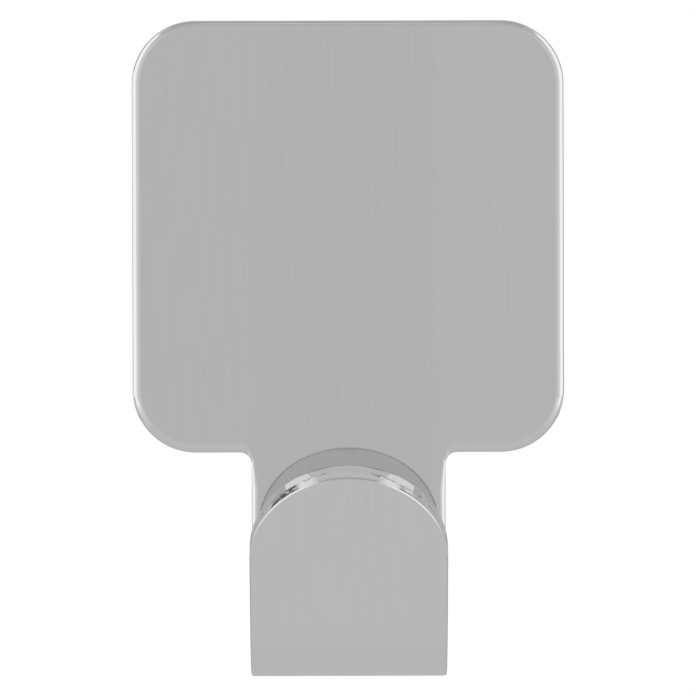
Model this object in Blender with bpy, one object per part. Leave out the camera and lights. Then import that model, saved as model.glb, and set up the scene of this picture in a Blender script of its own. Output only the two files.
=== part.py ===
"""Self-adhesive towel hook, punched and bent from one stainless sheet, with its foam pad.

Frame: metres, +Z up, front towards -Y. The origin is the middle of the pad's back face, which lies on
the wall, so the wall is the plane y = 0 and the whole object stands in front of it.

The hook is modelled as it is made. A flat blank is punched (square plate, tab and half round end, as
one outline), its edges are rounded, more on the front than on the back, and the tab is then bent
round a former into a J.
"""

import math

import bmesh
import bpy
from mathutils import Vector

# Driving dimensions of the punched blank
SHEET_THICKNESS = 0.0025
PLATE_WIDTH = 0.0450
PLATE_HEIGHT = 0.0450
PLATE_CORNER_RADIUS = 0.0066
TAB_WIDTH = 0.0202
ROOT_FILLET = 0.0012
FRONT_EDGE_ROUND = 0.0006
BACK_EDGE_ROUND = 0.0002

# Driving dimensions of the bend
TAB_DROP = 0.0137
BEND_INSIDE_RADIUS = 0.0066
FLAP_LEAN = math.radians(32.5)
FLAP_LENGTH = 0.0201

# Driving dimensions of the foam pad
PAD_THICKNESS = 0.0010
PAD_INSET = 0.0020
BOND_GAP = 0.0003

# How finely the round stretches are divided, each count for a quarter turn but the bend's
CORNER_STEPS = 12
FILLET_STEPS = 6
END_STEPS = 18
EDGE_STEPS = 3
BEND_STEPS = 30

MERGE_DISTANCE = 0.000001

# Places that follow from the sizes
PLATE_BACK_Y = -(PAD_THICKNESS + BOND_GAP)
SHEET_MIDDLE_Y = PLATE_BACK_Y - SHEET_THICKNESS / 2
PLATE_FRONT_Y = PLATE_BACK_Y - SHEET_THICKNESS
PLATE_BOTTOM_Z = -PLATE_HEIGHT / 2
BEND_START_Z = PLATE_BOTTOM_Z - TAB_DROP
BEND_CENTRE_Y = PLATE_FRONT_Y - BEND_INSIDE_RADIUS
BEND_ANGLE = math.pi - FLAP_LEAN
NEUTRAL_RADIUS = BEND_INSIDE_RADIUS + SHEET_THICKNESS / 2
BEND_LENGTH = NEUTRAL_RADIUS * BEND_ANGLE
END_RADIUS = TAB_WIDTH / 2
BLANK_END_Z = BEND_START_Z - BEND_LENGTH - FLAP_LENGTH


def clear_scene():
    """Empty the open file of objects and of the collections that held them."""
    for thing in list(bpy.data.objects):
        bpy.data.objects.remove(thing, do_unlink=True)
    for group in list(bpy.data.collections):
        bpy.data.collections.remove(group)


def make_material(name, colour, metallic, roughness):
    """A plain Principled material in the colour of the real surface."""
    material = bpy.data.materials.new(name)
    material.use_nodes = True
    shader = material.node_tree.nodes["Principled BSDF"]
    shader.inputs["Base Color"].default_value = (*colour, 1.0)
    shader.inputs["Metallic"].default_value = metallic
    shader.inputs["Roughness"].default_value = roughness
    material.diffuse_color = (*colour, 1.0)
    return material


def arc(centre_x, centre_z, radius, start_degrees, end_degrees, steps):
    """Points along an arc in the X-Z plane, both ends included."""
    points = []
    for step in range(steps + 1):
        angle = math.radians(start_degrees + (end_degrees - start_degrees) * step / steps)
        points.append((centre_x + radius * math.cos(angle), centre_z + radius * math.sin(angle)))
    return points


def mirrored(points):
    """The same run of points on the other side of X = 0, walked the other way."""
    return [(-x, z) for x, z in reversed(points)]


def rounded_rectangle(width, height, radius):
    """Outline of a rectangle with round corners, counter-clockwise round the origin."""
    across = width / 2 - radius
    up = height / 2 - radius
    right_side = arc(across, -up, radius, -90, 0, CORNER_STEPS)
    right_side += arc(across, up, radius, 0, 90, CORNER_STEPS)
    return right_side + mirrored(right_side)


def blank_outline():
    """Outline of the flat blank: plate, root fillets, tab and half round end, counter-clockwise.

    The right side runs from the middle of the round end to the top of the plate. Its mirror image
    closes the outline, less the middle point that both sides share.
    """
    plate_across = PLATE_WIDTH / 2 - PLATE_CORNER_RADIUS
    plate_up = PLATE_HEIGHT / 2 - PLATE_CORNER_RADIUS
    fillet_x = END_RADIUS + ROOT_FILLET
    fillet_z = PLATE_BOTTOM_Z - ROOT_FILLET
    right_side = arc(0.0, BLANK_END_Z + END_RADIUS, END_RADIUS, -90, 0, END_STEPS)
    right_side += arc(fillet_x, fillet_z, ROOT_FILLET, 180, 90, FILLET_STEPS)
    right_side += arc(plate_across, -plate_up, PLATE_CORNER_RADIUS, -90, 0, CORNER_STEPS)
    right_side += arc(plate_across, plate_up, PLATE_CORNER_RADIUS, 0, 90, CORNER_STEPS)
    return right_side + mirrored(right_side)[:-1]


def punched_sheet(name, outline, thickness):
    """A flat sheet cut to an outline, standing in the X-Z plane with its middle at y = 0."""
    curve = bpy.data.curves.new(name, "CURVE")
    curve.dimensions = "2D"
    curve.fill_mode = "BOTH"
    curve.extrude = thickness / 2
    spline = curve.splines.new("POLY")
    spline.points.add(len(outline) - 1)
    spline.use_cyclic_u = True
    for point, (x, z) in zip(spline.points, outline):
        point.co = (x, z, 0.0, 1.0)
    sheet = bpy.data.objects.new(name, curve)
    sheet.rotation_euler = (math.pi / 2, 0.0, 0.0)
    return sheet


def finish_cap(solid, cap_height, edge_round):
    """Make a flat cap of a sheet that still lies in the X-Y plane one face, and round its edge."""
    cap = [
        face for face in solid.faces
        if all(abs(vertex.co.z - cap_height) < MERGE_DISTANCE for vertex in face.verts)
    ]
    cap_face = bmesh.ops.dissolve_faces(solid, faces=cap)["region"][0]
    if edge_round > 0.0:
        bmesh.ops.bevel(
            solid,
            geom=cap_face.edges[:],
            offset=edge_round,
            offset_type="OFFSET",
            segments=EDGE_STEPS,
            profile=0.5,
            affect="EDGES",
        )


def as_mesh_object(curve_object, collection, front_round=0.0, back_round=0.0):
    """Make a curve object a mesh object in world space, with its loose caps welded on.

    The sheet's front is the side at +Z in the curve's own frame. Its edges are rounded on request.
    """
    half_thickness = curve_object.data.extrude
    collection.objects.link(curve_object)
    bpy.context.view_layer.update()
    depsgraph = bpy.context.evaluated_depsgraph_get()
    mesh = bpy.data.meshes.new_from_object(curve_object.evaluated_get(depsgraph))
    name = curve_object.name
    place = curve_object.matrix_world.copy()
    bpy.data.objects.remove(curve_object, do_unlink=True)
    solid = bmesh.new()
    solid.from_mesh(mesh)
    bmesh.ops.remove_doubles(solid, verts=solid.verts, dist=MERGE_DISTANCE)
    finish_cap(solid, half_thickness, front_round)
    finish_cap(solid, -half_thickness, back_round)
    bmesh.ops.recalc_face_normals(solid, faces=solid.faces)
    solid.transform(place)
    solid.to_mesh(mesh)
    solid.free()
    mesh.name = name
    thing = bpy.data.objects.new(name, mesh)
    collection.objects.link(thing)
    return thing


def cut_bend_stations(solid):
    """Cut the flat blank across where it bends, so that it can follow the former."""
    for step in range(BEND_STEPS + 1):
        station_z = BEND_START_Z - BEND_LENGTH * step / BEND_STEPS
        bmesh.ops.bisect_plane(
            solid,
            geom=solid.verts[:] + solid.edges[:] + solid.faces[:],
            dist=MERGE_DISTANCE,
            plane_co=(0.0, 0.0, station_z),
            plane_no=(0.0, 0.0, 1.0),
        )


def bent(point):
    """Where a point of the flat blank goes when the tab is bent forward round the former.

    The sheet keeps its thickness, and its middle keeps its length. Above the bend nothing moves, and
    past it the flap runs straight on.
    """
    run = BEND_START_Z - point.z
    if run <= 0.0:
        return point.copy()
    in_front_of_middle = SHEET_MIDDLE_Y - point.y
    radius = NEUTRAL_RADIUS - in_front_of_middle
    angle = min(run / NEUTRAL_RADIUS, BEND_ANGLE)
    straight = max(run - BEND_LENGTH, 0.0)
    return Vector((
        point.x,
        BEND_CENTRE_Y + radius * math.cos(angle) - straight * math.sin(angle),
        BEND_START_Z - radius * math.sin(angle) - straight * math.cos(angle),
    ))


def make_hook_body(collection):
    """The steel hook: punched flat, edges rounded, then bent."""
    sheet = punched_sheet("hook_body", blank_outline(), SHEET_THICKNESS)
    sheet.location = (0.0, SHEET_MIDDLE_Y, 0.0)
    hook = as_mesh_object(sheet, collection, FRONT_EDGE_ROUND, BACK_EDGE_ROUND)
    solid = bmesh.new()
    solid.from_mesh(hook.data)
    cut_bend_stations(solid)
    for vertex in solid.verts:
        vertex.co = bent(vertex.co)
    solid.to_mesh(hook.data)
    solid.free()
    hook.data.shade_smooth()
    hook.data.set_sharp_from_angle(angle=math.radians(35.0))
    hook.data.materials.append(make_material("polished_stainless", (0.60, 0.60, 0.60), 1.0, 0.18))
    return hook


def make_adhesive_pad(collection):
    """The double-sided foam pad, die-cut inside the plate's outline, with concentric corners."""
    outline = rounded_rectangle(
        PLATE_WIDTH - 2 * PAD_INSET,
        PLATE_HEIGHT - 2 * PAD_INSET,
        PLATE_CORNER_RADIUS - PAD_INSET,
    )
    foam = punched_sheet("adhesive_pad", outline, PAD_THICKNESS)
    foam.location = (0.0, -PAD_THICKNESS / 2, 0.0)
    pad = as_mesh_object(foam, collection)
    pad.data.materials.append(make_material("grey_foam", (0.16, 0.16, 0.17), 0.0, 0.85))
    return pad


def main():
    clear_scene()
    collection = bpy.data.collections.new("towel_hook")
    bpy.context.scene.collection.children.link(collection)
    make_hook_body(collection)
    make_adhesive_pad(collection)


main()
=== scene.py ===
"""Looks of the self-adhesive towel hook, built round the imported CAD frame.

Metres, +Z up, front towards -Y, with the wall at y = 0. The steel hook and the foam pad are each
replaced by a finer mesh of the same shape and size, with procedural materials. Polished steel shows
what stands round it, so the studio is built as a small room of soft lamps and plain grey cards.
"""

import math

import bmesh
import bpy
from mathutils import Matrix, Vector, noise


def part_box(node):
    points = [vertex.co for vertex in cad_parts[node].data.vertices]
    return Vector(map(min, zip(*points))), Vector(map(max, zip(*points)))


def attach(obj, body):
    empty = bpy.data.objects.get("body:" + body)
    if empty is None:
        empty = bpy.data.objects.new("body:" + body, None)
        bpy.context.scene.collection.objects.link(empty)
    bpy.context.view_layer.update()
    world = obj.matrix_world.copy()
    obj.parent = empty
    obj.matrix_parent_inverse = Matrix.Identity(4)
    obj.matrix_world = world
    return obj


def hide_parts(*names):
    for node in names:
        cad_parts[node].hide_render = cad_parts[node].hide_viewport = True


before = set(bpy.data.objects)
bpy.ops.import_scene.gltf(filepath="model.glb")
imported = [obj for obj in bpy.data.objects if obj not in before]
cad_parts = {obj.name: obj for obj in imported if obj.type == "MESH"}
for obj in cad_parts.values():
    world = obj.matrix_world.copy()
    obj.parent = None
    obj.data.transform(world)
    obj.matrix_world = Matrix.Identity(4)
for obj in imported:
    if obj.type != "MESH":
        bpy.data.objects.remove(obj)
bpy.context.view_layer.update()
HOOK_LOW, HOOK_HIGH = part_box("hook_body")
_, PAD_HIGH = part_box("adhesive_pad")

# Sizes of the steel sheet, as the CAD model has them
SHEET_THICKNESS = 0.0025
PLATE_CORNER_RADIUS = 0.0066
TAB_WIDTH = 0.0202
ROOT_FILLET = 0.0012
TAB_DROP = 0.0137
BEND_INSIDE_RADIUS = 0.0066
FLAP_LEAN = math.radians(32.5)
FLAP_LENGTH = 0.0201

# The front edge is polished round: most on the plate, little in the root fillets, least at the end.
# Its radius changes over a share of each fillet, over a run of the tab below the fillets, and between
# two shares of the round end's half width, where it also wanders a little.
PLATE_EDGE_ROUND = 0.0007
FILLET_EDGE_ROUND = 0.00024
FILLET_EDGE_SHARE = 1 / 3
TAB_EDGE_ROUND = 0.00056
TAB_EDGE_RUN = 0.0026
FLAP_EDGE_ROUND = 0.0004
END_EDGE_ROUND = 0.0002
END_EDGE_SHARES = (0.6, 1.0)
EDGE_WANDER = 0.00005
EDGE_WANDER_SCALE = 2400.0

# On the plate and the tab the front edge starts more gently than a circle, so it reaches further in
EDGE_TAIL = 0.5

# The back edge, which the flap turns towards the view, and how far the flap is drawn in at each side
BACK_EDGE_ROUND = 0.0002
FLAP_BACK_EDGE_ROUND = 0.0003
BACK_EDGE_SHARES = (0.9, 1.0)
FLAP_DRAW_IN = 0.00004

# Places that follow from those sizes and from the frame
PLATE_WIDTH = HOOK_HIGH.x - HOOK_LOW.x
PLATE_TOP_Z = HOOK_HIGH.z
PLATE_BOTTOM_Z = PLATE_TOP_Z - PLATE_WIDTH
PLATE_BACK_Y = HOOK_HIGH.y
SHEET_MIDDLE_Y = PLATE_BACK_Y - SHEET_THICKNESS / 2
PLATE_FRONT_Y = PLATE_BACK_Y - SHEET_THICKNESS
BEND_START_Z = PLATE_BOTTOM_Z - TAB_DROP
BEND_CENTRE_Y = PLATE_FRONT_Y - BEND_INSIDE_RADIUS
BEND_ANGLE = math.pi - FLAP_LEAN
NEUTRAL_RADIUS = BEND_INSIDE_RADIUS + SHEET_THICKNESS / 2
BEND_LENGTH = NEUTRAL_RADIUS * BEND_ANGLE
END_RADIUS = TAB_WIDTH / 2
BLANK_END_Z = BEND_START_Z - BEND_LENGTH - FLAP_LENGTH
END_ARC_Z = BLANK_END_Z + END_RADIUS

# How finely the steel is divided. Each count is for a quarter turn, but the tab's is for the run below
# a fillet, the bend's for the whole bend and the wall's for its depth.
CORNER_STEPS = 40
FILLET_STEPS = 16
TAB_STEPS = 8
END_STEPS = 110
EDGE_STEPS = 10
BEND_STEPS = 120
WALL_STEPS = 12

# Points closer than this are one point, and larger faces lead in the shading by this weight
MERGE_DISTANCE = 0.000001
FLAT_FACE_WEIGHT = 100

# The punched wall: it draws in towards the back on the round end, where it is torn half way
WALL_DRAW = 0.00007
TEAR_DEPTH = 0.00125
TEAR_BLEND = 0.0003
TEAR_HEIGHT = 0.000006
TEAR_SCALE = 2600.0

# The polished steel: a faint upright grain and a wave too shallow to see except in what it mirrors
STEEL_GREY = 0.60
POLISHED_ROUGHNESS = 0.03
GRAIN_STRETCH = (3500.0, 0.0, 90.0)
GRAIN_RANGE = (0.25, 0.75)
GRAIN_CONTRAST = 0.015
WAVE_SCALE = 700.0
WAVE_HEIGHT = 0.0000008

# The torn strip of the wall, from a ragged line on. Depths are counted from the sheet's front, and the
# line wanders to both sides as its noise does round its middle.
RAGGED_SCALE = 2200.0
RAGGED_REACH = 0.0009
NOISE_MIDDLE = 0.5
TORN_DEPTHS = (0.00122, 0.00130)
TORN_TONE = 1.09
TORN_ROUGHNESS = 0.10
GRIT_SCALE = 6000.0
GRIT_HEIGHT = 0.000004

# The lip where the tearing starts, darkened as painted shade: in patches, not in the middle, deeper away
# from it, and faint off the round end
LIP_SHADE_TONE = 0.56
LIP_SHADE_START_DEPTHS = (0.00108, 0.00114)
LIP_SHADE_END_DEPTHS = (0.00141, 0.00135)
LIP_SHADE_PATCH_SCALE = 1500.0
LIP_SHADE_PATCH_RANGE = (0.41, 0.49)
LIP_SHADE_MIDDLE_X = (0.0021, 0.0025)
LIP_SHADE_DEEPER_X = (0.0030, 0.0050)
LIP_SHADE_DEEPER_BY = 0.00022
LIP_SHADE_END_FADE = 0.0004
LIP_SHADE_SHARE_OFF_END = 0.3

# The dark specks low on the wall of the round end, at its left
NICK_TONE = 0.16
NICK_SCALE = 2600.0
NICK_RANGE = (0.42, 0.45)
NICK_LEFT_X = (-0.0079, -0.0077)
NICK_RIGHT_X = (-0.0053, -0.0055)
NICK_START_X = (-0.0078, -0.0056)
NICK_START_DEPTHS = (0.00180, 0.00130)
NICK_BLEND = 0.00008
NICK_END_FADE = 0.0001

# The foam pad: its corners are concentric with the plate's, and it is seen to fill the bond
PAD_CORNER_RADIUS = PLATE_CORNER_RADIUS - (HOOK_HIGH.x - PAD_HIGH.x)
PAD_SKIN_CLEARANCE = 0.00002
PAD_FRONT_Y = PLATE_BACK_Y + PAD_SKIN_CLEARANCE
PAD_SIDE_STEPS = 90
PAD_CORNER_STEPS = 16
PAD_DEPTH_STEPS = 12
PAD_DRAW_IN = 0.00012
PAD_SKIN = 0.00008
PAD_CELL_HEIGHT = 0.00006
PAD_CELL_SCALE = 3200.0
PAD_SHARP_ANGLE = math.radians(50.0)

# The foam's face: fine cells under a tacky, mottled film, painted darker in each cell's pit as shade and
# lighter on its rim
FOAM_GREYS = (0.14, 0.18)
FOAM_BLUE_SHARE = 1.06
FOAM_ROUGHNESSES = (0.55, 0.9)
FOAM_MOTTLE_SCALE = 420.0
FOAM_CELL_SCALE = 5200.0
FOAM_CELL_SHADE_REACH = 0.7
FOAM_CELL_SHADE_TONES = (0.7, 1.15)
FOAM_CELL_DEPTH = 0.00003
FOAM_CELL_STRENGTH = 0.8

# The pale board under the hook, and the stretch of a noise that a mottled tone shows
FLOOR_Z = -0.105
FLOOR_RADIUS = 0.45
FLOOR_SEGMENTS = 128
FLOOR_GREY = 0.84
FLOOR_CONTRAST = 0.015
FLOOR_ROUGHNESS = 0.9
FLOOR_MOTTLE_SCALE = 160.0
MOTTLE_RANGE = (0.3, 0.7)

# The camera stands level with the upper half of the plate and looks down a little
FRAME_PIXELS = 696
PIXELS_PER_METRE_AT_PLATE = 9600.0
CAMERA_DISTANCE = 0.651
CAMERA_ACROSS = -0.00003
CAMERA_HEIGHT = 0.0032
AIM_HEIGHT = -0.01161
CAMERA_ROLL = math.radians(-0.15)
CAMERA_CLIP_START = 0.01
SENSOR_WIDTH = 36.0

# The background's light, as it is seen and as it lights rough surfaces
WHITE = (1.0, 1.0, 1.0, 1.0)
WHITE_LEVEL = 1.0
ROOM_LEVEL = 0.80

# The studio's walls and ceiling, and the step that keeps its cards clear of the lamps and each other
SIDES = (("left", -1), ("right", 1))
STUDIO_SIDE = 0.60
STUDIO_FRONT_Y = -0.80
STUDIO_BACK_Y = 0.72
CEILING_Z = 0.75
CARD_STEP = 0.01

# The lamps at the sides, and the cards beside them in front
LAMP_RADIANCE = 0.47
LAMP_FRONT_Y = -0.56
LAMP_BACK_Y = 0.24
SIDE_FRONT_LEVEL = 1.2

# The cards in front: left, middle and right below, then near and far at each side, and one above
FRONT_LEVELS = (0.738, 0.728, 0.748)
FRONT_SIDE_LEVELS = (0.88, 1.0)
FRONT_HIGH_LEVEL = 0.70
FRONT_MIDDLE_X = 0.02
FRONT_SPLITS_X = (0.17, 0.38)
FRONT_SIDE_TOP_Z = 0.40

# The cards behind, across the back and along the sides behind the lamps
BEHIND_LEVEL = 0.60
BEHIND_LOW_LEVEL = 0.47
BEHIND_LEFT_LEVEL = 1.0
BEHIND_MIDDLE_LEVEL = 0.42
BEHIND_LOW_Z = -0.03
BEHIND_SIDE_LOW_Z = 0.15
BEHIND_SPLIT_Y = 0.50

# The bright patches behind at each side, which the flap's round end shows. Overhead, their inner side
# is given at the front and at the back. On the side walls, their lower side is given left and right.
PATCH_LEVEL = 1.04
PATCH_INSIDE_X = (0.311, 0.587)
PATCH_FRONT_Y = 0.20
PATCH_LOW_Z = (0.53, 0.50)

# The ceiling from front to back, and at its sides, where it gets brighter towards the lamps
CEILING_LEVELS = (0.665, 0.61, 0.565)
CEILING_SPLITS_Y = (-0.45, -0.15, 0.20)
CEILING_HALF_WIDTH = 0.35
CEILING_SIDE_LEVELS = (0.70, 1.25)
CEILING_GLOW_X = (0.49, 0.60)

# The card along the path on the ceiling that the middle of the round end's wall shows
END_LEVEL = 0.74
END_PATH = ((0.0, 0.297), (0.138, 0.315), (0.283, 0.370), (0.470, 0.485))
END_REACHES = (0.13, 0.06)

# The narrow card overhead that lights the mirror image of the flap in the tab
CRESCENT_LEVEL = 1.60
CRESCENT_HALF_WIDTH = 0.035
CRESCENT_FRONT_Y = -0.418
CRESCENT_BACK_Y = -0.360

# The strips above the middle of the floor: a place on Y and the level there, from front to back
FLOOR_LEVELS = (
    (-0.80, 0.79),
    (-0.045, 0.79),
    (-0.02, 0.765),
    (0.02, 0.74),
    (0.16, 0.57),
    (0.45, 0.485),
    (0.72, 0.47),
)
FLOOR_SPLIT_Y = 0.02

# The cards above the floor's sides. In front of the wall they get brighter outwards: the first two rises
# are reached at the first two places on X, and the last is added to the second by the third place. They
# fade at both ends. Behind the wall they are dark beyond a curve, y = curve * x * x.
FLOOR_WALL_LEVEL = 0.80
FLOOR_SIDES_X = (0.115, 0.20, 0.33)
FLOOR_SIDE_RISES = (0.04, 0.20, 0.50)
FLOOR_SIDE_FADE_Y = (-0.16, 0.02)
FLOOR_SIDE_FRONT_Y = (-0.72, -0.25)
FLOOR_SIDE_FRONT_SHARE = 0.25
FLOOR_BEHIND_SPLIT_X = 0.17
FLOOR_DARK_LEVEL = 0.30
FLOOR_DARK_CURVE = 4.7
FLOOR_DARK_EDGE = (-0.08, -0.04)


def outline_arc(centre_x, centre_z, radius, start_degrees, end_degrees, steps, side=1.0):
    """Points of an arc in the X-Z plane, each with the direction that leads out of the sheet there.

    The side is 1 where the arc's centre is in the sheet, and -1 where it is outside.
    """
    points = []
    for step in range(steps + 1):
        angle = math.radians(start_degrees + (end_degrees - start_degrees) * step / steps)
        across = math.cos(angle)
        up = math.sin(angle)
        points.append((centre_x + radius * across, centre_z + radius * up, side * across, side * up))
    return points


def mirrored(points):
    """The same run of points on the other side of X = 0, walked the other way."""
    return [(-x, z, -out_x, out_z) for x, z, out_x, out_z in reversed(points)]


def blank_outline():
    """Outline of the flat blank: plate, root fillets, tab and half round end, counter-clockwise."""
    plate_across = PLATE_WIDTH / 2 - PLATE_CORNER_RADIUS
    lower_z = PLATE_BOTTOM_Z + PLATE_CORNER_RADIUS
    upper_z = PLATE_TOP_Z - PLATE_CORNER_RADIUS
    fillet_x = END_RADIUS + ROOT_FILLET
    fillet_z = PLATE_BOTTOM_Z - ROOT_FILLET
    right_side = outline_arc(0.0, END_ARC_Z, END_RADIUS, -90, 0, END_STEPS)
    for step in range(TAB_STEPS, 0, -1):
        right_side.append((END_RADIUS, fillet_z - TAB_EDGE_RUN * step / TAB_STEPS, 1.0, 0.0))
    right_side += outline_arc(fillet_x, fillet_z, ROOT_FILLET, 180, 90, FILLET_STEPS, -1.0)
    right_side += outline_arc(plate_across, lower_z, PLATE_CORNER_RADIUS, -90, 0, CORNER_STEPS)
    right_side += outline_arc(plate_across, upper_z, PLATE_CORNER_RADIUS, 0, 90, CORNER_STEPS)
    return right_side + mirrored(right_side)[:-1]


def share_between(value, start, end):
    """How far a value lies from the start of a range towards its end, as a share of the range."""
    return (value - start) / (end - start)


def blended(start, end, share):
    """A value between two others, held at them where the share is outside 0 to 1."""
    share = min(max(share, 0.0), 1.0)
    return start + (end - start) * share


def front_round_at(x, z):
    """Radius of the front edge at a place on the flat blank's outline."""
    below_plate = PLATE_BOTTOM_Z - z
    if below_plate < 0.0:
        return PLATE_EDGE_ROUND
    if below_plate < ROOT_FILLET:
        return blended(PLATE_EDGE_ROUND, FILLET_EDGE_ROUND, below_plate / (FILLET_EDGE_SHARE * ROOT_FILLET))
    if z < END_ARC_Z:
        outward = share_between(abs(x) / END_RADIUS, *END_EDGE_SHARES)
        wander = EDGE_WANDER * noise.noise(Vector((x, 0.0, z)) * EDGE_WANDER_SCALE)
        return blended(END_EDGE_ROUND, FLAP_EDGE_ROUND, outward) + wander
    below_fillet = below_plate - ROOT_FILLET
    down_flap = below_fillet / (BEND_START_Z - END_ARC_Z)
    tab_round = blended(TAB_EDGE_ROUND, FLAP_EDGE_ROUND, down_flap)
    return blended(FILLET_EDGE_ROUND, tab_round, below_fillet / TAB_EDGE_RUN)


def back_round_at(x, z):
    """Radius of the back edge, which is the side of the flap that faces the view."""
    if z > END_ARC_Z:
        return FLAP_BACK_EDGE_ROUND
    outward = share_between(abs(x) / END_RADIUS, *BACK_EDGE_SHARES)
    return blended(BACK_EDGE_ROUND, FLAP_BACK_EDGE_ROUND, outward)


def wall_inset(x, depth, z, share):
    """How far the punched wall lies in from the outline, which is on the flap and its round end alone.

    The share runs from 0 at the wall's front to 1 at its back.
    """
    narrowed = FLAP_DRAW_IN * blended(0.0, 1.0, (BEND_START_Z - z) / BEND_LENGTH) * abs(x) / END_RADIUS
    if z > END_ARC_Z:
        return narrowed
    torn = blended(0.0, TEAR_HEIGHT, (depth - TEAR_DEPTH) / TEAR_BLEND)
    tears = torn * (1.0 + noise.noise(Vector((x, depth, z)) * TEAR_SCALE))
    return narrowed + tears + WALL_DRAW * share * share * (END_ARC_Z - z) / END_RADIUS


def edge_section(x, z):
    """The sheet's edge from front to back at a place on the outline, as rows of three numbers.

    They are how far in from the outline a point lies, how far behind the front, and 1 on the wall.
    """
    front_round = front_round_at(x, z)
    front_inset = wall_inset(x, 0.0, z, 0.0)
    tail = EDGE_TAIL * blended(0.0, 1.0, (z - BEND_START_Z) / TAB_EDGE_RUN)
    back_round = back_round_at(x, z)
    wall_end = SHEET_THICKNESS - back_round
    turns = [math.pi / 2 * step / EDGE_STEPS for step in range(EDGE_STEPS + 1)]
    rows = []
    for turn in turns:
        inward = 1 - math.sin(turn)
        inset = front_inset + front_round * (inward + tail * inward ** 3)
        rows.append((inset, front_round * (1 - math.cos(turn)), 0.0))
    for step in range(1, WALL_STEPS):
        share = step / WALL_STEPS
        depth = front_round + (wall_end - front_round) * share
        rows.append((wall_inset(x, depth, z, share), depth, 1.0))
    back_inset = wall_inset(x, wall_end, z, 1.0)
    for turn in turns:
        inset = back_inset + back_round * (1 - math.cos(turn))
        rows.append((inset, wall_end + back_round * math.sin(turn), 0.0))
    return rows


def closed_band(solid, columns):
    """Join columns of points into a band that closes on itself, and shut it at both its rims."""
    for here, there in zip(columns, columns[1:] + columns[:1]):
        for row in range(len(here) - 1):
            solid.faces.new((here[row], there[row], there[row + 1], here[row + 1]))
    solid.faces.new([column[0] for column in columns])
    solid.faces.new([column[-1] for column in columns])
    bmesh.ops.recalc_face_normals(solid, faces=solid.faces)


def flat_blank():
    """The flat blank as a closed bmesh: rings of points round its edge, and a face on each side."""
    solid = bmesh.new()
    wall = solid.verts.layers.float.new("wall")
    columns = []
    for x, z, out_x, out_z in blank_outline():
        column = []
        for inset, depth, on_wall in edge_section(x, z):
            vertex = solid.verts.new((x - out_x * inset, PLATE_FRONT_Y + depth, z - out_z * inset))
            vertex[wall] = on_wall
            column.append(vertex)
        columns.append(column)
    closed_band(solid, columns)
    return solid


def bent(point):
    """Where a point of the flat blank goes when the tab is bent forward round the former."""
    run = BEND_START_Z - point.z
    if run <= 0.0:
        return point.copy()
    radius = NEUTRAL_RADIUS - (SHEET_MIDDLE_Y - point.y)
    angle = min(run / NEUTRAL_RADIUS, BEND_ANGLE)
    straight = max(run - BEND_LENGTH, 0.0)
    return Vector((
        point.x,
        BEND_CENTRE_Y + radius * math.cos(angle) - straight * math.sin(angle),
        BEND_START_Z - radius * math.sin(angle) - straight * math.cos(angle),
    ))


def add_object(name, data):
    """A new object in the scene: a mesh, a lamp or a camera."""
    thing = bpy.data.objects.new(name, data)
    bpy.context.scene.collection.objects.link(thing)
    return thing


def object_from(solid, name, material):
    """Make an object of a bmesh, smooth shaded."""
    mesh = bpy.data.meshes.new(name)
    solid.to_mesh(mesh)
    solid.free()
    mesh.shade_smooth()
    mesh.materials.append(material)
    return add_object(name, mesh)


def make_steel_hook():
    """The bent steel sheet, with the flat faces kept flat in their shading.

    Each point keeps its place in the flat blank as the attribute "blank", for the material.
    """
    solid = flat_blank()
    for step in range(BEND_STEPS + 1):
        bmesh.ops.bisect_plane(
            solid,
            geom=solid.verts[:] + solid.edges[:] + solid.faces[:],
            dist=MERGE_DISTANCE,
            plane_co=(0.0, 0.0, BEND_START_Z - BEND_LENGTH * step / BEND_STEPS),
            plane_no=(0.0, 0.0, 1.0),
        )
    blank = solid.verts.layers.float_vector.new("blank")
    for vertex in solid.verts:
        vertex[blank] = vertex.co
        vertex.co = bent(vertex.co)
    hook = object_from(solid, "steel_hook", make_steel_material())
    weighted = hook.modifiers.new("flat_faces_stay_flat", "WEIGHTED_NORMAL")
    weighted.mode = "FACE_AREA"
    weighted.weight = FLAT_FACE_WEIGHT
    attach(hook, "root")
    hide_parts("hook_body")


def pad_outline():
    """Outline of the foam pad, counter-clockwise, with its straight sides divided for the cells."""
    across = PAD_HIGH.x - PAD_CORNER_RADIUS
    up = PAD_HIGH.z - PAD_CORNER_RADIUS
    corners = (
        (across, -up, -90, 2 * up),
        (across, up, 0, 2 * across),
        (-across, up, 90, 2 * up),
        (-across, -up, 180, 2 * across),
    )
    points = []
    for centre_x, centre_z, start, side_length in corners:
        points += outline_arc(centre_x, centre_z, PAD_CORNER_RADIUS, start, start + 90, PAD_CORNER_STEPS)
        x, z, out_x, out_z = points[-1]
        for step in range(1, PAD_SIDE_STEPS):
            along = side_length * step / PAD_SIDE_STEPS
            points.append((x - out_z * along, z + out_x * along, out_x, out_z))
    return points


def foam_inset(x, depth, z, thickness):
    """How far the foam's cut side lies in from the outline: open cells, drawn in between the skins."""
    from_skin = min(depth, thickness - depth)
    foam = blended(0.0, 1.0, (from_skin - PAD_SKIN) / PAD_SKIN)
    crown = math.sin(math.pi * depth / thickness)
    cells = abs(noise.noise(Vector((x, depth, z)) * PAD_CELL_SCALE))
    return foam * (PAD_DRAW_IN * crown + PAD_CELL_HEIGHT * cells)


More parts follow.
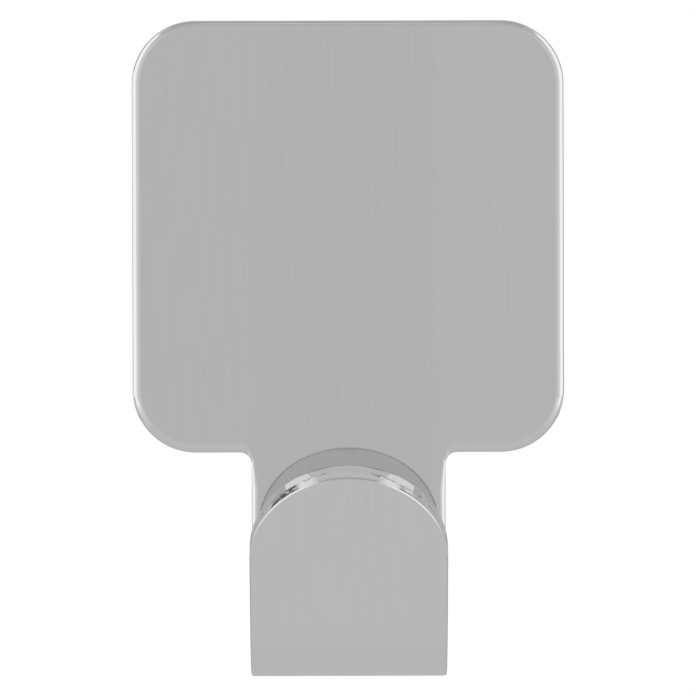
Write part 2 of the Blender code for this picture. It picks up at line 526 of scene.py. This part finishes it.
def make_foam_pad():
    """The die-cut foam pad between its two thin skins."""
    solid = bmesh.new()
    thickness = PAD_HIGH.y - PAD_FRONT_Y
    columns = []
    for x, z, out_x, out_z in pad_outline():
        column = []
        for step in range(PAD_DEPTH_STEPS + 1):
            depth = thickness * step / PAD_DEPTH_STEPS
            inset = foam_inset(x, depth, z, thickness)
            column.append(solid.verts.new((x - out_x * inset, PAD_FRONT_Y + depth, z - out_z * inset)))
        columns.append(column)
    closed_band(solid, columns)
    pad = object_from(solid, "foam_pad", make_foam_material())
    pad.data.set_sharp_from_angle(angle=PAD_SHARP_ANGLE)
    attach(pad, "root")
    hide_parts("adhesive_pad")


def new_material(name):
    """A material, its node tree and its Principled shader."""
    material = bpy.data.materials.new(name)
    material.use_nodes = True
    tree = material.node_tree
    return material, tree, tree.nodes["Principled BSDF"]


def add_node(tree, kind, inputs, **settings):
    """Add a shader node, with its inputs set to values or joined to other nodes' outputs."""
    node = tree.nodes.new("ShaderNode" + kind)
    for setting, value in settings.items():
        setattr(node, setting, value)
    for socket, value in inputs.items():
        if isinstance(value, bpy.types.NodeSocket):
            tree.links.new(value, node.inputs[socket])
        else:
            node.inputs[socket].default_value = value
    return node


def attribute(tree, name, output):
    """An attribute of the mesh's points, as a vector or as one value."""
    return add_node(tree, "Attribute", {}, attribute_name=name).outputs[output]


def maths(tree, operation, first, second=0.0, third=0.0):
    """The result of one operation on up to three values."""
    return add_node(tree, "Math", {0: first, 1: second, 2: third}, operation=operation).outputs[0]


def product(tree, *factors):
    """The factors multiplied together."""
    result = factors[0]
    for factor in factors[1:]:
        result = maths(tree, "MULTIPLY", result, factor)
    return result


def noise_at(tree, place, scale, detail, stretch=(1.0, 1.0, 1.0)):
    """Noise from 0 to 1 over the surface, with its own stretch along each axis."""
    placed = add_node(tree, "Mapping", {"Vector": place, "Scale": stretch})
    texture = add_node(tree, "TexNoise", {"Vector": placed.outputs[0], "Scale": scale, "Detail": detail})
    return texture.outputs["Fac"]


def ramp(tree, value, low, high, low_value=0.0, high_value=1.0):
    """A value stretched from one range to another, and held at its ends."""
    inputs = {"Value": value, "From Min": low, "From Max": high, "To Min": low_value, "To Max": high_value}
    return add_node(tree, "MapRange", inputs).outputs["Result"]


def toned(tree, value, value_range, level, contrast):
    """A level that varies by a share of itself, down and up, over a range of a value."""
    return ramp(tree, value, *value_range, level * (1.0 - contrast), level * (1.0 + contrast))


def grey(tree, value):
    """An even colour from one value."""
    return add_node(tree, "CombineColor", {"Red": value, "Green": value, "Blue": value}).outputs["Color"]


def make_steel_material():
    """Polished stainless steel: a faint upright grain, and a torn strip along the punched wall."""
    material, tree, shader = new_material("polished_stainless")
    shader.inputs["Metallic"].default_value = 1.0
    place = attribute(tree, "blank", "Vector")
    wall = attribute(tree, "wall", "Fac")
    axes = add_node(tree, "SeparateXYZ", {"Vector": place})
    depth = maths(tree, "SUBTRACT", axes.outputs["Y"], PLATE_FRONT_Y)
    ragged = maths(tree, "SUBTRACT", noise_at(tree, place, RAGGED_SCALE, detail=4.0), NOISE_MIDDLE)
    ragged_depth = maths(tree, "MULTIPLY_ADD", ragged, RAGGED_REACH, depth)
    torn = product(tree, ramp(tree, ragged_depth, *TORN_DEPTHS), wall)
    lip_shade = make_lip_shade(tree, place, axes, ragged_depth, wall)
    nicks = make_nicks(tree, place, axes, depth, wall)

    grain = noise_at(tree, place, scale=1.0, detail=3.0, stretch=GRAIN_STRETCH)
    tone = product(
        tree,
        toned(tree, grain, GRAIN_RANGE, STEEL_GREY, GRAIN_CONTRAST),
        ramp(tree, torn, 0.0, 1.0, 1.0, TORN_TONE),
        # Painted shade: the dark line at the tear's lip
        ramp(tree, lip_shade, 0.0, 1.0, 1.0, LIP_SHADE_TONE),
        ramp(tree, nicks, 0.0, 1.0, 1.0, NICK_TONE),
    )
    tree.links.new(grey(tree, tone), shader.inputs["Base Color"])
    roughness = ramp(tree, torn, 0.0, 1.0, POLISHED_ROUGHNESS, TORN_ROUGHNESS)
    tree.links.new(roughness, shader.inputs["Roughness"])

    wave = noise_at(tree, place, WAVE_SCALE, detail=2.0)
    polish = add_node(tree, "Bump", {"Distance": WAVE_HEIGHT, "Height": wave})
    grit = product(tree, noise_at(tree, place, GRIT_SCALE, detail=3.0), torn)
    rough_inputs = {"Distance": GRIT_HEIGHT, "Height": grit, "Normal": polish.outputs["Normal"]}
    rough = add_node(tree, "Bump", rough_inputs)
    tree.links.new(rough.outputs["Normal"], shader.inputs["Normal"])
    return material


def make_lip_shade(tree, place, axes, ragged_depth, wall):
    """The broken dark line of painted shade where the wall starts to be torn, from 0 to 1."""
    out = maths(tree, "ABSOLUTE", axes.outputs["X"])
    deeper = ramp(tree, out, *LIP_SHADE_DEEPER_X, 0.0, LIP_SHADE_DEEPER_BY)
    lip_shade_depth = maths(tree, "SUBTRACT", ragged_depth, deeper)
    return product(
        tree,
        ramp(tree, lip_shade_depth, *LIP_SHADE_START_DEPTHS),
        ramp(tree, lip_shade_depth, *LIP_SHADE_END_DEPTHS),
        ramp(tree, noise_at(tree, place, LIP_SHADE_PATCH_SCALE, detail=2.0), *LIP_SHADE_PATCH_RANGE),
        ramp(tree, out, *LIP_SHADE_MIDDLE_X),
        wall,
        ramp(tree, axes.outputs["Z"], END_ARC_Z + LIP_SHADE_END_FADE, END_ARC_Z, LIP_SHADE_SHARE_OFF_END, 1.0),
    )


def make_nicks(tree, place, axes, depth, wall):
    """Dark specks low on the wall, from 0 to 1, in a strip that gets wider towards the middle."""
    start = ramp(tree, axes.outputs["X"], *NICK_START_X, *NICK_START_DEPTHS)
    return product(
        tree,
        wall,
        ramp(tree, maths(tree, "SUBTRACT", depth, start), 0.0, NICK_BLEND),
        ramp(tree, noise_at(tree, place, NICK_SCALE, detail=4.0), *NICK_RANGE),
        ramp(tree, axes.outputs["Z"], END_ARC_Z + NICK_END_FADE, END_ARC_Z),
        ramp(tree, axes.outputs["X"], *NICK_LEFT_X),
        ramp(tree, axes.outputs["X"], *NICK_RIGHT_X),
    )


def make_foam_material():
    """Dark grey foam with fine cells, painted darker in their pits as shade, and a tacky, mottled film on
    its face.
    """
    material, tree, shader = new_material("grey_foam")
    place = add_node(tree, "TexCoord", {}).outputs["Object"]
    cells = add_node(tree, "TexVoronoi", {"Vector": place, "Scale": FOAM_CELL_SCALE}).outputs["Distance"]
    mottle = noise_at(tree, place, FOAM_MOTTLE_SCALE, detail=4.0)
    film_tone = ramp(tree, mottle, *MOTTLE_RANGE, *FOAM_GREYS)
    # Painted shade: each cell is darker where its bump is lowest and lighter on its rim
    tone = product(tree, film_tone, ramp(tree, cells, 0.0, FOAM_CELL_SHADE_REACH, *FOAM_CELL_SHADE_TONES))
    cool_tone = product(tree, tone, FOAM_BLUE_SHARE)
    colour = add_node(tree, "CombineColor", {"Red": tone, "Green": tone, "Blue": cool_tone})
    tree.links.new(colour.outputs["Color"], shader.inputs["Base Color"])
    roughness = ramp(tree, mottle, *MOTTLE_RANGE, *FOAM_ROUGHNESSES)
    tree.links.new(roughness, shader.inputs["Roughness"])
    bump_inputs = {"Strength": FOAM_CELL_STRENGTH, "Distance": FOAM_CELL_DEPTH, "Height": cells}
    bump = add_node(tree, "Bump", bump_inputs)
    tree.links.new(bump.outputs["Normal"], shader.inputs["Normal"])
    return material


def make_world():
    """White to the camera and in reflections, and a plain room light for everything else."""
    world = bpy.data.worlds.new("studio")
    bpy.context.scene.world = world
    world.use_nodes = True
    tree = world.node_tree
    tree.nodes.clear()
    rays = add_node(tree, "LightPath", {})
    seen = maths(tree, "MAXIMUM", rays.outputs["Is Camera Ray"], rays.outputs["Is Glossy Ray"])
    seen = maths(tree, "MAXIMUM", seen, rays.outputs["Is Transmission Ray"])
    room_light = add_node(tree, "Background", {"Color": WHITE, "Strength": ROOM_LEVEL})
    background = add_node(tree, "Background", {"Color": WHITE, "Strength": WHITE_LEVEL})
    mix = add_node(tree, "MixShader", {0: seen, 1: room_light.outputs[0], 2: background.outputs[0]})
    add_node(tree, "OutputWorld", {"Surface": mix.outputs[0]})


def make_softbox(name, place, aim, width, height, radiance):
    """An area lamp of a given brightness per area, turned to face a point."""
    lamp = bpy.data.lights.new(name, "AREA")
    lamp.shape = "RECTANGLE"
    lamp.size = width
    lamp.size_y = height
    lamp.energy = radiance * math.pi * width * height
    box = add_object(name, lamp)
    box.location = place
    box.rotation_euler = (Vector(aim) - Vector(place)).to_track_quat("-Z", "Y").to_euler()
    box.visible_camera = False


def make_card(name, corners, radiance):
    """A flat studio card that shows only in reflections.

    Its radiance is a number, or a function that makes it from the node tree, the distance out from
    X = 0 and the place on Y.
    """
    mesh = bpy.data.meshes.new(name)
    mesh.from_pydata(corners, [], [tuple(range(len(corners)))])
    card = add_object(name, mesh)
    material, tree, shader = new_material(name)
    tree.nodes.remove(shader)
    strength = radiance
    if callable(radiance):
        axes = add_node(tree, "SeparateXYZ", {"Vector": add_node(tree, "TexCoord", {}).outputs["Object"]})
        out = maths(tree, "ABSOLUTE", axes.outputs["X"])
        strength = radiance(tree, out, axes.outputs["Y"])
    glow = add_node(tree, "Emission", {"Color": WHITE, "Strength": strength})
    tree.links.new(glow.outputs[0], tree.nodes["Material Output"].inputs["Surface"])
    mesh.materials.append(material)
    card.visible_camera = False
    card.visible_shadow = False
    card.visible_diffuse = False


def wall_card(name, y, left, right, bottom, top, radiance):
    """A card square to the view."""
    make_card(name, ((left, y, bottom), (right, y, bottom), (right, y, top), (left, y, top)), radiance)


def level_card(name, z, left, right, front, back, radiance):
    """A card that lies level."""
    make_card(name, ((left, front, z), (right, front, z), (right, back, z), (left, back, z)), radiance)


def side_card(name, x, front, back, bottom, top, radiance):
    """A card at one side, in line with the view."""
    make_card(name, ((x, front, bottom), (x, back, bottom), (x, back, top), (x, front, top)), radiance)


def make_floor():
    """A round pale board under the hook, faintly mottled."""
    solid = bmesh.new()
    bmesh.ops.create_circle(solid, cap_ends=True, radius=FLOOR_RADIUS, segments=FLOOR_SEGMENTS)
    material, tree, shader = new_material("pale_board")
    place = add_node(tree, "TexCoord", {}).outputs["Object"]
    mottle = noise_at(tree, place, FLOOR_MOTTLE_SCALE, detail=5.0)
    tone = toned(tree, mottle, MOTTLE_RANGE, FLOOR_GREY, FLOOR_CONTRAST)
    tree.links.new(grey(tree, tone), shader.inputs["Base Color"])
    shader.inputs["Roughness"].default_value = FLOOR_ROUGHNESS
    shader.inputs["Specular IOR Level"].default_value = 0.0
    floor = object_from(solid, "floor", material)
    floor.location = (0.0, 0.0, FLOOR_Z)


def make_lamps():
    """Two tall soft lamps, one at each side. What stands behind a lamp adds to its own glow."""
    middle_y = (LAMP_FRONT_Y + LAMP_BACK_Y) / 2
    middle_z = (FLOOR_Z + CEILING_Z) / 2
    width = LAMP_BACK_Y - LAMP_FRONT_Y
    height = CEILING_Z - FLOOR_Z
    aim = (0.0, middle_y, middle_z)
    for name, side in SIDES:
        place = (side * STUDIO_SIDE, middle_y, middle_z)
        make_softbox("softbox_" + name, place, aim, width, height, LAMP_RADIANCE)


def make_front_wall():
    """Cards in front of the hook, behind the camera: brighter at the sides, plain above."""
    y = STUDIO_FRONT_Y
    top = FRONT_SIDE_TOP_Z
    middle = FRONT_MIDDLE_X
    inner, outer = FRONT_SPLITS_X
    left_level, middle_level, right_level = FRONT_LEVELS
    near_level, far_level = FRONT_SIDE_LEVELS
    wall_card("front_high", y, -STUDIO_SIDE, STUDIO_SIDE, top, CEILING_Z, FRONT_HIGH_LEVEL)
    wall_card("front_middle_left", y, -inner, -middle, FLOOR_Z, top, left_level)
    wall_card("front_middle", y, -middle, middle, FLOOR_Z, top, middle_level)
    wall_card("front_middle_right", y, middle, inner, FLOOR_Z, top, right_level)
    for name, side in SIDES:
        wall_x = side * (STUDIO_SIDE + CARD_STEP)
        wall_card("front_near_" + name, y, side * inner, side * outer, FLOOR_Z, top, near_level)
        wall_card("front_far_" + name, y, side * outer, wall_x, FLOOR_Z, top, far_level)


def make_back_wall():
    """Two cards across the back of the studio."""
    y = STUDIO_BACK_Y
    wall_card("back", y, -STUDIO_SIDE, STUDIO_SIDE, BEHIND_LOW_Z, CEILING_Z, BEHIND_LEVEL)
    wall_card("back_low", y, -STUDIO_SIDE, STUDIO_SIDE, FLOOR_Z, BEHIND_LOW_Z, BEHIND_LOW_LEVEL)


def make_side_walls():
    """Cards at both sides of the studio, in front of the lamps and behind them."""
    front = STUDIO_FRONT_Y
    back = STUDIO_BACK_Y
    low = BEHIND_SIDE_LOW_Z
    split = BEHIND_SPLIT_Y
    low_levels = (BEHIND_LEFT_LEVEL, BEHIND_LEVEL)
    for (name, side), low_level, patch_z in zip(SIDES, low_levels, PATCH_LOW_Z):
        x = side * (STUDIO_SIDE + CARD_STEP)
        side_card("side_front_" + name, x, front, LAMP_FRONT_Y, FLOOR_Z, CEILING_Z, SIDE_FRONT_LEVEL)
        side_card("side_low_" + name, x, LAMP_BACK_Y, back, FLOOR_Z, low, low_level)
        side_card("side_middle_" + name, x, LAMP_BACK_Y, split, low, CEILING_Z, BEHIND_MIDDLE_LEVEL)
        side_card("side_back_" + name, x, split, back, low, patch_z, BEHIND_LEVEL)
        side_card("side_patch_" + name, x, split, back, patch_z, CEILING_Z, PATCH_LEVEL)


def ceiling_side_glow(tree, out, y):
    """Brightness of the ceiling's sides, which rises towards the lamps."""
    return ramp(tree, out, *CEILING_GLOW_X, *CEILING_SIDE_LEVELS)


def make_ceiling():
    """Level cards overhead, darkest above the hook."""
    half = CEILING_HALF_WIDTH
    z = CEILING_Z
    first_y, second_y, third_y = CEILING_SPLITS_Y
    first, second, third = CEILING_LEVELS
    level_card("ceiling_front", z, -half, half, STUDIO_FRONT_Y, first_y, first)
    level_card("ceiling_middle", z, -half, half, first_y, second_y, second)
    level_card("ceiling_dark", z, -half, half, second_y, third_y, third)
    level_card("ceiling_back", z, -half, half, third_y, STUDIO_BACK_Y, BEHIND_LEVEL)
    for name, side in SIDES:
        near = side * half
        far = side * STUDIO_SIDE
        level_card("ceiling_side_" + name, z, near, far, STUDIO_FRONT_Y, PATCH_FRONT_Y, ceiling_side_glow)
        level_card("ceiling_behind_" + name, z, near, far, PATCH_FRONT_Y, STUDIO_BACK_Y, BEHIND_LEVEL)


def make_ceiling_lights():
    """The lighter cards just below the ceiling, which show in the flap's end and in its mirror image."""
    z = CEILING_Z - CARD_STEP
    patch_z = z - CARD_STEP / 2
    wide = CRESCENT_HALF_WIDTH
    level_card("crescent", z, -wide, wide, CRESCENT_FRONT_Y, CRESCENT_BACK_Y, CRESCENT_LEVEL)
    front_reach, back_reach = END_REACHES
    front_x, back_x = PATCH_INSIDE_X
    for name, side in SIDES:
        front_edge = [(side * x, y - front_reach, z) for x, y in END_PATH]
        back_edge = [(side * x, y + back_reach, z) for x, y in reversed(END_PATH)]
        make_card("end_" + name, front_edge + back_edge, END_LEVEL)
        far = side * STUDIO_SIDE
        patch_front = [(side * front_x, PATCH_FRONT_Y, patch_z), (far, PATCH_FRONT_Y, patch_z)]
        patch_back = [(far, STUDIO_BACK_Y, patch_z), (side * back_x, STUDIO_BACK_Y, patch_z)]
        make_card("patch_" + name, patch_front + patch_back, PATCH_LEVEL)


def floor_strip_glow(start, end, start_level, end_level):
    """Brightness that changes evenly from one place on Y to another."""
    return lambda tree, out, y: ramp(tree, y, start, end, start_level, end_level)


def floor_side_glow(tree, out, y):
    """Brightness of the floor's sides in front of the wall: it rises outwards, most half way along."""
    near, middle, far = FLOOR_SIDES_X
    first_rise, second_rise, last_rise = FLOOR_SIDE_RISES
    inside = ramp(tree, out, near, middle, first_rise, second_rise)
    outside = ramp(tree, out, middle, far, 0.0, last_rise)
    rise = maths(tree, "ADD", inside, outside)
    fade = ramp(tree, y, *FLOOR_SIDE_FADE_Y, 1.0, 0.0)
    front_fade = ramp(tree, y, *FLOOR_SIDE_FRONT_Y, FLOOR_SIDE_FRONT_SHARE, 1.0)
    return maths(tree, "MULTIPLY_ADD", rise, product(tree, fade, front_fade), FLOOR_WALL_LEVEL)


def floor_behind_glow(tree, out, y):
    """Brightness of the floor's sides behind the wall: dark beyond a curve that the flap's sides show."""
    curve = product(tree, out, out, FLOOR_DARK_CURVE)
    beyond = maths(tree, "SUBTRACT", y, curve)
    return ramp(tree, beyond, *FLOOR_DARK_EDGE, FLOOR_WALL_LEVEL, FLOOR_DARK_LEVEL)


def make_floor_cards():
    """Level cards just above the floor, which keep its reflection even."""
    z = FLOOR_Z + CARD_STEP / 4
    inner = FLOOR_SIDES_X[0]
    behind = FLOOR_BEHIND_SPLIT_X
    split = FLOOR_SPLIT_Y
    for number, ((start, level), (end, end_level)) in enumerate(zip(FLOOR_LEVELS, FLOOR_LEVELS[1:])):
        half = inner if end <= split else behind
        glow = floor_strip_glow(start, end, level, end_level)
        level_card("floor_strip_%d" % number, z, -half, half, start, end, glow)
    for name, side in SIDES:
        far = side * STUDIO_SIDE
        level_card("floor_side_" + name, z, side * inner, far, STUDIO_FRONT_Y, split, floor_side_glow)
        level_card("floor_behind_" + name, z, side * behind, far, split, STUDIO_BACK_Y, floor_behind_glow)


def make_studio():
    """All that stands round the hook."""
    make_floor()
    make_lamps()
    make_front_wall()
    make_back_wall()
    make_side_walls()
    make_ceiling()
    make_ceiling_lights()
    make_floor_cards()


def make_camera():
    """The photograph's camera: a long lens, nearly square to the plate."""
    lens_data = bpy.data.cameras.new("camera")
    camera = add_object("camera", lens_data)
    camera.location = (CAMERA_ACROSS, PLATE_FRONT_Y - CAMERA_DISTANCE, CAMERA_HEIGHT)
    aim = Vector((CAMERA_ACROSS, PLATE_FRONT_Y, AIM_HEIGHT))
    turn = (aim - camera.location).to_track_quat("-Z", "Y").to_matrix()
    camera.rotation_euler = (turn @ Matrix.Rotation(CAMERA_ROLL, 3, "Z")).to_euler()
    field = FRAME_PIXELS / PIXELS_PER_METRE_AT_PLATE
    lens_data.sensor_width = SENSOR_WIDTH
    lens_data.lens = SENSOR_WIDTH * CAMERA_DISTANCE / field
    lens_data.clip_start = CAMERA_CLIP_START
    bpy.context.scene.camera = camera


def main():
    make_camera()
    make_world()
    make_studio()
    make_steel_hook()
    make_foam_pad()
    bpy.context.scene.view_settings.view_transform = "Standard"


main()
